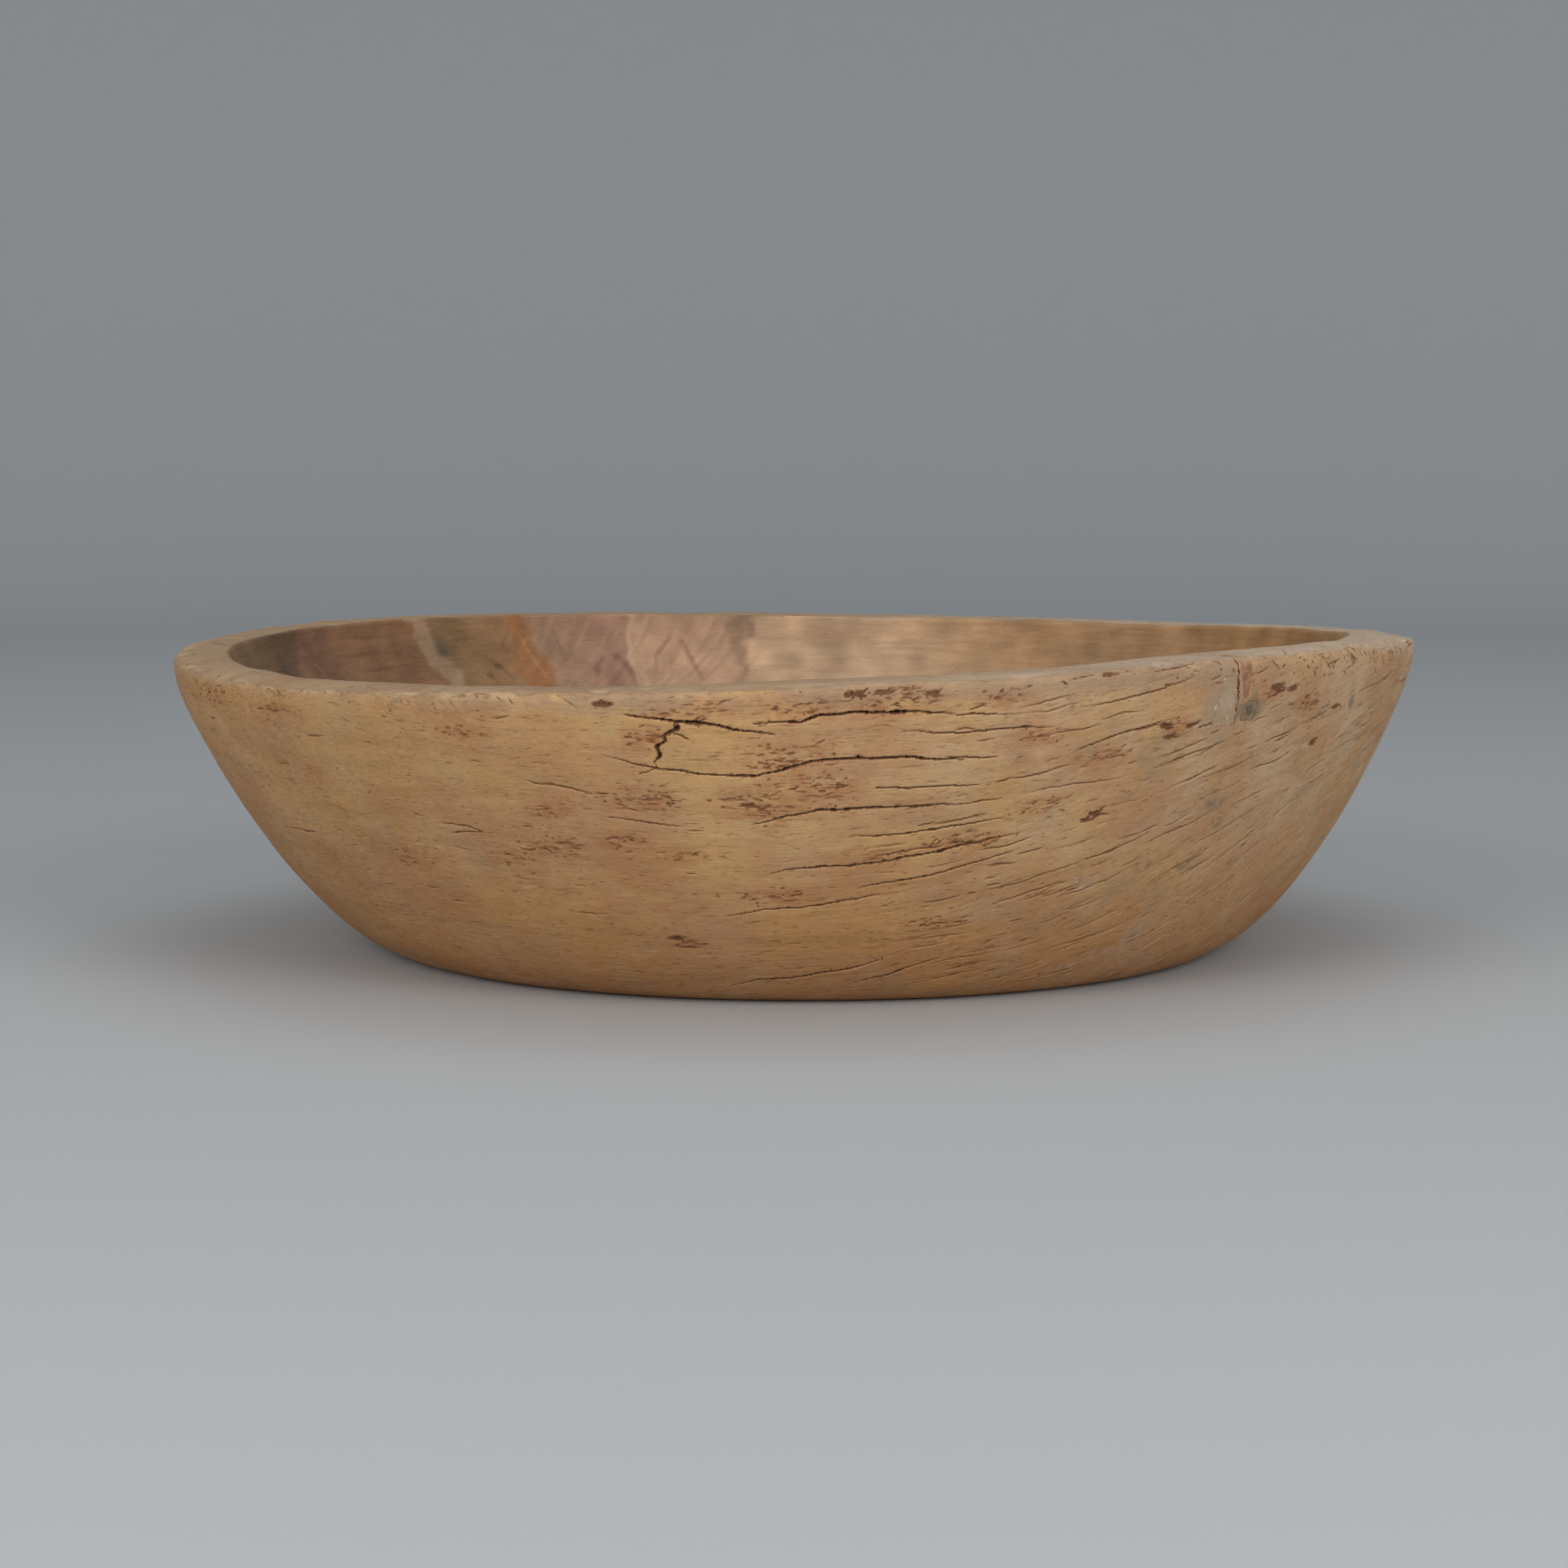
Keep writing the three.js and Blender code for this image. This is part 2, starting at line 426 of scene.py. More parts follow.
# The widest cracks: corners as (degrees round the bowl, millimetres up the wall), then the half width and
# the depth in millimetres.
CRACKS = [
    ([(-104, 145), (-99.8, 142), (-97.5, 141), (-95, 138.5), (-91.8, 136)], 0.69, 3.4),
    ([(-99.3, 142.5), (-99.9, 140.5), (-99.7, 138), (-100.8, 135.5), (-100.7, 133), (-101.5, 130),
      (-101.3, 126), (-101.9, 123), (-101.6, 119.5)], 0.9, 1.7),
    ([(-99.5, 141.5), (-99.6, 139), (-100.3, 137), (-100.4, 135)], 1.2, 1.8),
    ([(-100.2, 137), (-99.4, 135.5), (-98.8, 134)], 0.5, 1.6),
    ([(-101.6, 121), (-102.4, 119), (-103.4, 117)], 0.42, 1.3),
    ([(-105.9, 125), (-103.6, 122), (-101.5, 120), (-98.5, 118), (-96, 117), (-93.6, 117.5)], 0.43, 2.2),
    ([(-97, 117.5), (-93.7, 117), (-91.5, 120), (-88.9, 124), (-85, 125), (-81.4, 125), (-76, 123.5)],
     0.76, 3.8),
    ([(-78, 125), (-75.5, 124), (-73.1, 124)], 0.42, 1.5),
    ([(-93.8, 141), (-91.7, 142), (-89.9, 142), (-88.2, 145), (-84.6, 146), (-81, 146), (-77.2, 145)],
     0.69, 3.4),
    ([(-78, 144.5), (-75, 144), (-72.2, 143.5)], 0.42, 1.4),
    ([(-81.8, 137.5), (-79.5, 136.5), (-77, 135.8), (-74, 136.5), (-71, 137), (-68.2, 137)], 0.42, 1.9),
    ([(-94.4, 94), (-92.7, 96), (-91.2, 98.5), (-88.2, 101), (-83.6, 102), (-79, 102), (-76.2, 102)],
     0.62, 3),
    ([(-77, 101.5), (-74, 103), (-72.1, 104)], 0.42, 1.4),
    ([(-85.9, 88.5), (-83.5, 88), (-81, 89), (-77, 91), (-71.4, 95)], 0.43, 2),
    ([(-93, 70), (-91.5, 72), (-88.5, 74), (-85.5, 74), (-83.5, 75), (-81, 77), (-77.3, 80), (-73.5, 84),
      (-70, 87)], 0.62, 2.6),
    ([(-84.9, 62.5), (-81.7, 65), (-78.5, 67.5), (-75.5, 71), (-72.5, 75), (-69.6, 79)], 0.43, 2.2),
    ([(-83.9, 111), (-80, 111), (-74.2, 111)], 0.42, 1.9),
    ([(-97.6, 48), (-94, 52), (-90.5, 53), (-86.5, 56), (-82.4, 59)], 0.42, 2),
    ([(-98.5, 10), (-95, 14), (-91.5, 15), (-88, 18), (-85, 20), (-81.5, 25)], 0.95, 3.4),
    ([(-84.5, 12), (-81, 16), (-78.5, 20), (-75, 25)], 0.75, 2.3),
    ([(-124, 89), (-121, 88), (-119.3, 85.5)], 0.42, 1.5),
    ([(-123.3, 84), (-121, 85.3), (-119.3, 85.3)], 0.42, 1.2),
    ([(-113.4, 112), (-110.3, 110), (-107.5, 106.5)], 0.42, 1.5),
    ([(-107.1, 96), (-103.8, 94.5), (-100.1, 92)], 0.42, 1.5),
    ([(-53.7, 133), (-51.5, 135.5), (-50.7, 138), (-49.5, 141)], 0.42, 1.9),
    ([(-45.7, 143.5), (-44.6, 145.5), (-43.3, 148.5)], 0.42, 1.7),
    ([(-66.5, 124), (-62.5, 131.5), (-57, 138)], 0.42, 1.7),
]

# Short checks along the fibres: their number, the stretch of wall in degrees and the mean length in metres.
CHECKED = [(370, -84, -14, 0.018), (60, -175, -90, 0.008), (420, -14, 185, 0.014)]

# Larger holes: degrees round the bowl, millimetres up the wall, radius and depth in millimetres.
HOLES = [
    (-106, 149, 3.0, 2.0), (-85.6, 154, 4.2, 2.4), (-83.5, 155, 2.4, 1.5), (-62.8, 94, 2.6, 2.4),
    (-63.6, 91, 1.8, 1.6), (-36.1, 119, 2.0, 1.8), (-34.2, 136, 2.0, 1.4), (-64.0, 160, 2.0, 1.2),
    (-79.5, 154, 2.0, 1.2), (-98.4, 141.5, 2.0, 1.6), (-103.5, 36, 2.2, 1.4), (-94.5, 103, 1.8, 1.3),
    (-57.4, 134.5, 2.4, 2.0), (-54.8, 134, 1.5, 1.4), (-57, 129, 1.4, 1.3), (-44.8, 149, 2.4, 1.6),
    (-42.6, 147.5, 2.0, 1.4),
]

# Stretches of the front where the skin of the wood is red-brown and pitted: degrees round the bowl,
# millimetres up the wall, and half the width and height in millimetres.
PITTED = [
    (-90.5, 126, 36, 11), (-89.4, 111, 36, 13), (-93, 103, 30, 16), (-103.5, 105, 28, 10),
    (-112, 98, 16, 7), (-113, 80, 26, 9), (-105.8, 84, 20, 8), (-101, 78, 16, 6), (-118, 73, 18, 5),
    (-84, 78, 24, 8), (-75, 84, 28, 7), (-92, 59, 24, 8), (-77, 43, 20, 6), (-86, 149, 60, 8),
    (-98, 147, 32, 7), (-81, 155, 20, 5), (-73, 151, 18, 7), (-69, 133, 20, 6), (-64, 122, 22, 5),
    (-56, 134, 12, 7), (-68, 100, 18, 7), (-45, 146, 15, 6), (-39, 139, 18, 7), (-102.5, 133, 16, 8),
    (-83, 13, 12, 5), (-102, 33, 14, 6), (-152, 140, 32, 7), (-139, 138, 22, 5), (-118, 134, 20, 4),
    (-129, 70, 20, 8),
]

# Grey-green stains, as the pitted stretches.
STAINS = [
    (-48.2, 95, 7, 5), (-48.6, 103, 5, 5), (-49.4, 66, 9, 6), (-54.8, 66, 6, 5), (-30.8, 137, 4, 5),
    (-36.2, 135, 5, 6), (-47, 84, 5, 4), (-67, 147, 5, 3), (-72.4, 142, 4, 3), (-124, 146, 6, 3),
]

# Whitish scuffs, likewise.
SCUFFS = [(-53.4, 20, 16, 6), (-57.5, 15, 10, 4), (-51.5, 29, 7, 8), (-37, 118, 6, 3), (-61, 60, 9, 6)]

# Where the inside changes colour at the back, going round to the right: degrees at the rim and 40 mm
# below it, how sharp the change is in degrees, and the colour that starts there. The darker colours
# towards the left end of the back are partly the wood's figure and partly painted shade.
FIGURE_AND_SHADE = [
    (190, 190, 6.0, (112, 92, 70)), (168, 167, 1.5, (94, 80, 64)), (162, 163.5, 1.2, (116, 87, 71)),
    (155, 152, 4.0, (128, 95, 71)), (140.4, 137.2, 0.7, (152, 126, 102)),
    (137.6, 134.6, 0.8, (122, 97, 69)), (131, 130, 3.0, (141, 108, 78)),
    (126.6, 125.2, 0.4, (146, 101, 68)), (123.6, 121.3, 0.8, (158, 125, 103)),
    (115.8, 116.4, 1.4, (154, 120, 102)), (109.7, 110.0, 0.4, (182, 150, 122)),
    (108.7, 108.7, 0.6, (168, 135, 111)), (98.8, 96.4, 0.9, (138, 112, 92)),
    (94.8, 95.8, 0.8, (182, 151, 122)), (72, 70, 12.0, (162, 128, 94)), (36, 33, 9.0, (156, 120, 82)),
    (4, 4, 6.0, (150, 120, 86)),
]
INSIDE_COLOUR = (150, 117, 83)

# Lines in the figure of the inner wall: corners as (degrees round the bowl, millimetres up), half the width
# in millimetres, how strongly the colour shows, and the colour.
VEINS = [
    ([(162, 160), (160.5, 146), (158, 133), (157, 122)], 1.6, 0.45, (150, 120, 98)),
    ([(104.1, 141), (105.6, 136), (107.0, 129), (107.4, 118)], 1.8, 0.6, (132, 92, 78)),
    ([(104.1, 141), (103.2, 134), (102.4, 124), (101.4, 114)], 2.4, 0.7, (132, 92, 78)),
    ([(104.3, 131), (105.2, 124), (105.6, 114)], 1.5, 0.4, (146, 104, 88)),
    ([(113.6, 129), (114.6, 124), (115.4, 116)], 2.6, 0.7, (122, 88, 76)),
    ([(113.6, 129), (112.2, 130), (110.8, 124), (110.2, 114)], 3.0, 0.7, (122, 88, 76)),
    ([(112.8, 122), (112.9, 112)], 6.0, 0.6, (126, 92, 80)),
    ([(119.8, 150), (119.2, 138), (118.6, 126)], 1.6, 0.45, (126, 92, 78)),
    ([(117.4, 146), (117.6, 134), (117.2, 122)], 1.2, 0.35, (126, 92, 78)),
    ([(124.4, 148), (123.6, 136), (122.4, 124), (121.4, 114)], 1.8, 0.5, (184, 142, 100)),
    ([(136.6, 148), (135.8, 140), (135.2, 132)], 5.0, 0.7, (92, 84, 68)),
    ([(129.6, 130), (128.0, 126), (126.6, 119)], 2.0, 0.75, (92, 66, 48)),
    ([(131.5, 126), (129.8, 121), (128.8, 116)], 1.6, 0.7, (92, 66, 48)),
    ([(126.8, 140), (126.2, 133)], 3.4, 0.5, (108, 82, 60)),
    ([(151, 148), (147, 147), (143.5, 148)], 1.4, 0.6, (88, 62, 48)),
    ([(154, 139), (150, 138), (146, 139), (143, 138)], 2.0, 0.6, (92, 66, 52)),
    ([(152, 130), (147.5, 129.5), (143, 130.5)], 1.5, 0.6, (88, 62, 48)),
]


def near_spots(spots):
    """1 in the middle of each elliptical spot, falling to 0 at its edge."""
    mask = blank()
    for degrees_round, up, half_width, half_height in spots:
        middle = math.radians(degrees_round)
        along = wrapped(surface.angle - middle) * surface.radius[:, None] / (half_width * MM)
        across = (surface.reach - reach_at(up * MM, middle))[:, None] / (half_height * MM)
        mask = np.maximum(mask, np.clip(1 - along ** 2 - across ** 2, 0, 1))
    return mask


def repair_mask():
    """1 over the repair and 0 away from it."""
    along = np.abs(wrapped(surface.angle - REPAIR_ANGLE) * surface.radius[:, None])
    across = np.abs(surface.past_rim_edge + 0.012)
    return (1 - rising(along, 0.022, 0.045)) * (1 - rising(across, 0.03, 0.05))


def end_mask(degrees_round, spread):
    """1 at one side of the bowl, falling to 0 over the given degrees."""
    turn = np.degrees(wrapped(surface.angle - math.radians(degrees_round)))
    return (1 - rising(np.abs(turn), 0.45 * spread, spread))[None, :]


def carved_form():
    """The slow unevenness of hand carving, and worn arrises; positive is into the wood."""
    on_wall = rising(surface.reach, -0.005, 0.03)[:, None]
    push = 0.9 * MM * roughness(0.09, 11) + 0.45 * MM * roughness(0.034, 12)
    left, right = end_mask(-148, 42), end_mask(-22, 34)
    edge = np.exp(-((surface.past_rim_edge + 1 * MM) / ((5 + 5 * left + 2 * right) * MM)) ** 2)
    lumps, nicks = roughness(0.05, 13), roughness(0.011, 14)
    worn = 0.5 + 1.3 * rising(lumps, -0.3, 0.7) + 1.2 * rising(nicks, 0.1, 0.8)
    worn += left * (2.3 + 1.6 * nicks) + right * (1.0 + 1.3 * nicks)
    push += edge * worn * MM
    inner_edge = np.exp(-(surface.past_inner_edge / (3.5 * MM)) ** 2)
    push += inner_edge * MM * (0.5 + 0.6 * roughness(0.03, 15))
    return push * on_wall * (1 - 0.85 * repair_mask())


def scallops():
    """Shallow hollows left inside by the adze, in staggered rows below the rim."""
    draw = np.random.default_rng(21)
    push = blank()
    degrees_round = np.degrees(wrapped(surface.angle))
    for course, (top, height) in enumerate([(0, 75), (70, 60), (128, 55), (180, 50), (228, 50)]):
        edges = [band[0] for band in FIGURE_AND_SHADE if course == 0 and band[2] < 0.7]
        count = 34 - 4 * course
        regular = (np.arange(count) + draw.uniform(-0.25, 0.25, count)) * 360 / count - 180
        edges += [edge for edge in regular if course or not 90 < edge < 170]
        edges = np.sort(edges)
        slot = np.searchsorted(edges, degrees_round)
        low, high = edges[slot - 1], edges[slot % len(edges)]
        across = ((degrees_round - low) % 360) / ((high - low) % 360 + 1e-9)
        hollow = 4 * across * (1 - across) * draw.uniform(0.4, 1.0, len(edges))[slot % len(edges)]
        down = (surface.past_inner_edge / MM - top) / height
        push += 0.8 * MM * hollow * rising(down, 0.0, 0.12) * (1 - rising(down, 0.88, 1.0))
    return push * rising(surface.past_inner_edge, 0.002, 0.012)


def grain_coordinates():
    """Along the fibres, up across them, and out from the heart of the tree."""
    x, y, z = np.moveaxis(surface.points, -1, 0)
    return np.stack([x, z - fibre_rise(x, z), np.hypot(y, z - HEART_HEIGHT)], axis=-1)


def spread(draw, count, first, last, lowest=0.004, highest=0.202):
    """Random places on the outer wall between two angles in degrees."""
    return np.radians(draw.uniform(first, last, count)), draw.uniform(lowest, highest, count)


def drying_cracks():
    """Depth of the cracks, large and small."""
    draw = np.random.default_rng(31)
    cuts = blank()
    for corners, half_width, depth in CRACKS:
        crack(cuts, draw, corners, half_width * MM, depth * MM)
        if depth > 2.4:
            hairs(cuts, draw, corners)
    for count, first, last, length in CHECKED:
        random_checks(cuts, draw, *spread(draw, count, first, last), length, (0.32, 0.44), (0.3, 1.1), 0.045)
    angle, reach = spread(draw, 160, -180, 180, lowest=-0.16, highest=-0.002)
    checks(cuts, draw, angle, reach, draw.gamma(2.0, 0.008, 160), 0.5 * MM, 1.2 * MM)
    return cuts


def small_pits(pitted):
    """Depth of the small brown pits: a few everywhere, crowds of them in the pitted stretches, and holes."""
    draw = np.random.default_rng(32)
    pits = blank()
    random_checks(pits, draw, *spread(draw, 5000, -180, 180), 0.003, (0.3, 0.45), (0.05, 0.35), 0.1)
    angle, reach = spread(draw, 40000, -180, 180)
    spot = row_at(reach).astype(int), np.searchsorted(surface.angle, turned(angle)) % COLUMNS
    crowding = pitted[spot] * (1 + 1.5 * roughness(0.007, 33)[spot])
    chosen = crowding > draw.uniform(0.2, 1.8, len(angle))
    random_checks(pits, draw, angle[chosen], reach[chosen], 0.0026, (0.4, 0.75), (0.25, 0.8), 0.15)
    for degrees_round, up, radius, depth in HOLES:
        scatter = draw.normal(size=(44, 2)) * radius * 0.55 * MM
        middle = math.radians(degrees_round)
        angle = middle + scatter[:, 0] / 0.28
        reach = reach_at(up * MM, middle) + 0.45 * scatter[:, 1]
        random_checks(pits, draw, angle, reach, 0.0022, (0.35, 0.6), (0.15 * depth, 0.8 * depth), 0.2)
    return pits


def rim_checks():
    """Short splits over the rim's outer edge, crowded at the ends of the fibres on its left and right."""
    draw = np.random.default_rng(41)
    cuts = blank()
    angle = np.radians(np.concatenate([draw.normal(-140, 17, 260), draw.normal(-27, 11, 320),
                                       draw.uniform(-180, 180, 120)]))
    count = len(angle)
    reach = surface.rim_edge + draw.normal(-7, 6, count) * MM
    lean = draw.normal(-0.9, 0.5, count)
    length = draw.gamma(2.0, 1.6, count) * MM
    depth = np.where(angle < FRONT, 0.6, 1.0) * draw.uniform(0.3, 1.3, count) * MM
    splits(cuts, angle, reach, lean, length, np.sin(np.linspace(0, math.pi, 22))[:, None] * depth)
    return cuts


def painted(colour, share, new):
    """A colour field with a new display colour over it, as far as the share says."""
    return colour + share[..., None] * (np.array(new) / 255 - colour)


def inside_figure_and_shade():
    """The colour of the inner wall, as linear red, green and blue, with painted shade in its darker colours
    towards the left.
    """
    below_rim = surface.past_inner_edge / (40 * MM)
    degrees_round = np.degrees(surface.angle)[None, :]
    ripple = 0.9 * roughness(0.018, 51) + 0.9 * roughness(0.005, 52)
    colour = painted(0, blank() + 1, INSIDE_COLOUR)
    for at_rim, lower, softness, new in FIGURE_AND_SHADE:
        edge = at_rim + (lower - at_rim) * np.clip(below_rim, 0, 2) + ripple
        passed = (1 - rising(degrees_round - edge, -softness, softness)) * (degrees_round > -30)
        colour = painted(colour, passed, new)
    for corners, half_width, share, new in VEINS:
        line = blank()
        crack(line, np.random.default_rng(54), corners, half_width * MM, 1.0, parts=(INNER_WALL,))
        colour = painted(colour, share * line, new)
    # Streaks run up and down in the middle of the back, and along the fibres elsewhere.
    x, y = surface.points[..., 0], surface.points[..., 1]
    down = surface.past_inner_edge + blank()
    upright = np.stack([surface.angle * surface.radius[:, None] / 3, down / 16, blank()], axis=-1)
    level = np.stack([x / 14, down / 1.6, y / 14], axis=-1)
    turned_up = rising(degrees_round, 92, 98) * (1 - rising(degrees_round, 124, 130))
    streaks = turned_up * noise(upright, MM, 55) + (1 - turned_up) * noise(level, MM, 56)
    clouds = roughness(0.022, 57) + 0.8 * roughness(0.009, 58)
    colour *= (1 + 0.07 * streaks + 0.10 * clouds)[..., None]
    fade = np.clip(rising(below_rim, 1.3, 3.0) * (1 - 0.3 * roughness(0.05, 53)), 0, 1)
    return 1.06 * painted(colour, fade, INSIDE_COLOUR) ** 2.2


# --- Materials ---

def srgb(red, green, blue):
    """A colour given as 0 to 255 display values, as Blender's linear values."""
    return tuple((value / 255) ** 2.2 for value in (red, green, blue)) + (1.0,)


class Look:
    """A material whose colour is laid on in coats, with short ways to make and join its nodes."""

    def __init__(self, name, ground):
        self.material = bpy.data.materials.new(name)
        self.material.use_nodes = True
        self.nodes = self.material.node_tree.nodes
        self.links = self.material.node_tree.links
        self.shader = self.nodes["Principled BSDF"]
        self.colour = ground

    def join(self, value, socket):
        if isinstance(value, bpy.types.NodeSocket):
            self.links.new(value, socket)
        else:
            socket.default_value = value

    def node(self, kind, inputs, **settings):
        made = self.nodes.new(kind)
        for name, value in settings.items():
            setattr(made, name, value)
        for socket, value in inputs.items():
            self.join(value, made.inputs[socket])
        return made

    def attribute(self, name, output="Fac"):
        return self.node("ShaderNodeAttribute", {}, attribute_name=name).outputs[output]

    def part_of(self, vector, axis):
        return self.node("ShaderNodeSeparateXYZ", {"Vector": vector}).outputs[axis]

    def noise(self, vector, sizes, detail=3.0, roughness=0.55, offset=0.0):
        """Noise from 0 to 1, with features of the given sizes in metres along the vector's three axes."""
        scaled = self.node("ShaderNodeMapping", {
            "Vector": vector, "Location": (offset,) * 3, "Scale": tuple(1 / size for size in sizes)})
        made = self.node("ShaderNodeTexNoise", {
            "Vector": scaled.outputs[0], "Detail": detail, "Roughness": roughness, "Scale": 1.0})
        return made.outputs["Fac"]

    def rise(self, value, start, end):
        """0 up to start, 1 from end, and smooth between them. End below start turns it round."""
        made = self.node("ShaderNodeMapRange", {"Value": value, "From Min": start, "From Max": end},
                         interpolation_type="SMOOTHSTEP")
        return made.outputs["Result"]

    def between(self, value, low, high):
        """A value from 0 to 1 brought between low and high."""
        made = self.node("ShaderNodeMapRange", {"Value": value, "To Min": low, "To Max": high})
        return made.outputs["Result"]

    def calculate(self, operation, first, second):
        return self.node("ShaderNodeMath", {0: first, 1: second}, operation=operation).outputs[0]

    def times(self, first, second):
        return self.calculate("MULTIPLY", first, second)

    def blend(self, share, below, above):
        """One colour over another, as far as the share says."""
        below, above = [c if isinstance(c, bpy.types.NodeSocket) else srgb(*c) for c in (below, above)]
        return self.node("ShaderNodeMix", {0: share, 6: below, 7: above}, data_type="RGBA").outputs[2]

    def coat(self, share, colour, strength=1.0):
        """Lays a colour over the coats before it, as far as the share times the strength says."""
        self.colour = self.blend(self.times(share, strength), self.colour, colour)

    def finish(self, roughness, height, distance):
        """Joins the colour and roughness, and a height in shares of a distance as fine relief."""
        self.join(self.colour, self.shader.inputs["Base Color"])
        self.join(roughness, self.shader.inputs["Roughness"])
        self.shader.inputs["Specular IOR Level"].default_value = 0.3
        bump = self.node("ShaderNodeBump", {"Height": height, "Distance": distance, "Strength": 1.0})
        self.join(bump.outputs[0], self.shader.inputs["Normal"])
        return self.material


def fibres(look, grain):
    """Marks the wood along its fibres: broad bands, fine streaks and short pores."""
    bands = look.noise(grain, (0.16, 0.007, 0.02), detail=2.0)
    look.coat(look.rise(bands, 0.42, 0.75), (150, 108, 70), 0.28)
    streaks = look.noise(grain, (0.028, 0.0011, 0.003), detail=4.0, roughness=0.6, offset=3.1)
    look.coat(look.rise(streaks, 0.52, 0.80), (118, 82, 52), 0.45)
    look.coat(look.rise(streaks, 0.46, 0.25), (224, 198, 152), 0.25)
    pores = look.noise(grain, (0.0040, 0.0006, 0.0014), detail=1.5, offset=7.7)
    patchy = look.times(look.rise(bands, 0.35, 0.60), 0.35)
    look.coat(look.rise(pores, 0.62, 0.70), (104, 70, 46), patchy)
    return streaks, pores


def aged_ground(look, place, across):
    """Ochre to brown wood, greyer towards the right, and darker towards the left and the foot: partly its own
    tone, partly painted shade.
    """
    broad = look.noise(place, (0.06, 0.06, 0.035), detail=4.0, roughness=0.6)
    look.coat(look.rise(broad, 0.38, 0.64), (184, 138, 98))
    # Painted shade with some ochre tone: darker towards the left, where the light falls off.
    look.coat(look.rise(across, 0.0, -0.25), (165, 120, 76), 0.45)
    look.coat(look.rise(across, 0.0, 0.22), (178, 142, 110), 0.45)
    # Darker towards the foot: partly the wood's deeper tone, partly painted shade near the floor.
    look.coat(look.rise(look.part_of(place, "Z"), 0.10, 0.0), (176, 120, 72), 0.65)
    bleached = look.noise(place, (0.035, 0.035, 0.05), detail=4.0, roughness=0.6, offset=5.0)
    look.coat(look.rise(bleached, 0.40, 0.70), (198, 167, 134), look.attribute("pale"))
    stained = look.noise(place, (0.022, 0.022, 0.022), detail=3.0, offset=9.0)
    look.coat(look.rise(stained, 0.50, 0.75), (156, 136, 110), look.attribute("grey"))


def stains(look, place, across):
    """Rust-brown and grey-green blotches, whitish scuffs, and the rim's top: pale from dust and rubbing, and
    painted paler still as painted light.
    """
    blotched = look.noise(place, (0.006, 0.006, 0.006), detail=4.0, roughness=0.65, offset=12.0)
    scuffed = look.noise(place, (0.006, 0.009, 0.012), detail=4.0, roughness=0.65, offset=14.0)
    look.coat(look.times(look.attribute("rust"), look.rise(blotched, 0.35, 0.60)), (170, 114, 76), 0.7)
    look.coat(look.times(look.attribute("stain"), look.rise(blotched, 0.42, 0.60)), (118, 108, 86), 0.75)
    look.coat(look.times(look.attribute("scuff"), look.rise(scuffed, 0.35, 0.75)), (188, 172, 154), 0.6)
    look.coat(look.attribute("band"), (162, 133, 108))
    # Painted light on the rim's top as well as dust and rubbing: its colour is paler than the dust alone.
    dust = look.blend(look.rise(across, -0.05, 0.25), (171, 145, 117), (195, 176, 154))
    look.coat(look.attribute("rim"), dust)
    look.coat(look.attribute("worn"), (206, 176, 136))


def small_marks(look, grain, inside):
    """Dark dashes and specks along the fibres, and the brown of the pits."""
    dashes = look.noise(grain, (0.0075, 0.0011, 0.003), detail=2.0, roughness=0.6, offset=11.0)
    outside = look.calculate("SUBTRACT", 0.6, look.times(inside, 0.5))
    look.coat(look.rise(dashes, 0.65, 0.69), (120, 80, 50), outside)
    speckle = look.noise(grain, (0.0065, 0.0015, 0.003), detail=4.0, roughness=0.7, offset=1.7)
    crowded = look.calculate("ADD", speckle, look.times(look.attribute("rust"), 0.15))
    look.coat(look.rise(crowded, 0.68, 0.72), (116, 72, 45), 0.75)
    look.coat(look.attribute("fleck"), (108, 66, 42), 0.75)


def weathered_wood():
    """Old bleached hardwood: tan with ochre and grey stretches, red-brown where it has pitted."""
    look = Look("weathered_wood", (200, 158, 106))
    grain = look.attribute("grain", "Vector")
    place = look.node("ShaderNodeTexCoord", {}).outputs["Object"]
    across = look.part_of(place, "X")
    figure_and_shade, inside = look.attribute("figure_and_shade", "Vector"), look.attribute("inside")
    aged_ground(look, place, across)
    stains(look, place, across)
    # The inner wall's figure, with painted shade towards its left.
    look.coat(inside, figure_and_shade, 0.9)
    streaks, pores = fibres(look, grain)
    look.coat(inside, figure_and_shade, 0.5)
    small_marks(look, grain, inside)
    look.coat(look.attribute("smear"), look.attribute("smeared", "Vector"))
    cut = look.attribute("cut")
    # Painted shade in the cracks, checks, pits and along the split: the deeper the cut, the darker.
    look.coat(look.rise(cut, 0.04, 0.32), (112, 76, 50))
    look.coat(look.rise(cut, 0.30, 0.95), (58, 36, 25))
    height = look.calculate("SUBTRACT", streaks, look.times(look.rise(pores, 0.58, 0.70), 0.6))
    return look.finish(look.between(streaks, 0.66, 0.90), height, 0.15 * MM)


def hard_wood():
    """The wedge: dense red-brown wood with its fibres running down it, rubbed pale at the top."""
    look = Look("red_brown_hardwood", (172, 126, 96))
    wall_place = look.attribute("wall", "Vector")
    look.coat(look.rise(look.noise(wall_place, (0.004, 0.02, 0.01), detail=2.0), 0.35, 0.65), (148, 104, 81))
    streaks = look.noise(wall_place, (0.0006, 0.012, 0.004), detail=3.0)
    look.coat(look.rise(streaks, 0.5, 0.7), (104, 68, 54), 0.5)
    dust = look.noise(wall_place, (0.003, 0.004, 0.003), detail=4.0, roughness=0.7, offset=4.0)
    look.coat(look.rise(dust, 0.5, 0.7), (184, 150, 120), 0.6)
    rubbed = look.calculate("ADD", look.part_of(wall_place, "Y"), look.times(dust, 6 * MM))
    look.coat(look.rise(rubbed, -1.5 * MM, 2.0 * MM), (184, 156, 124))
    return look.finish(look.between(streaks, 0.6, 0.85), streaks, 0.2 * MM)


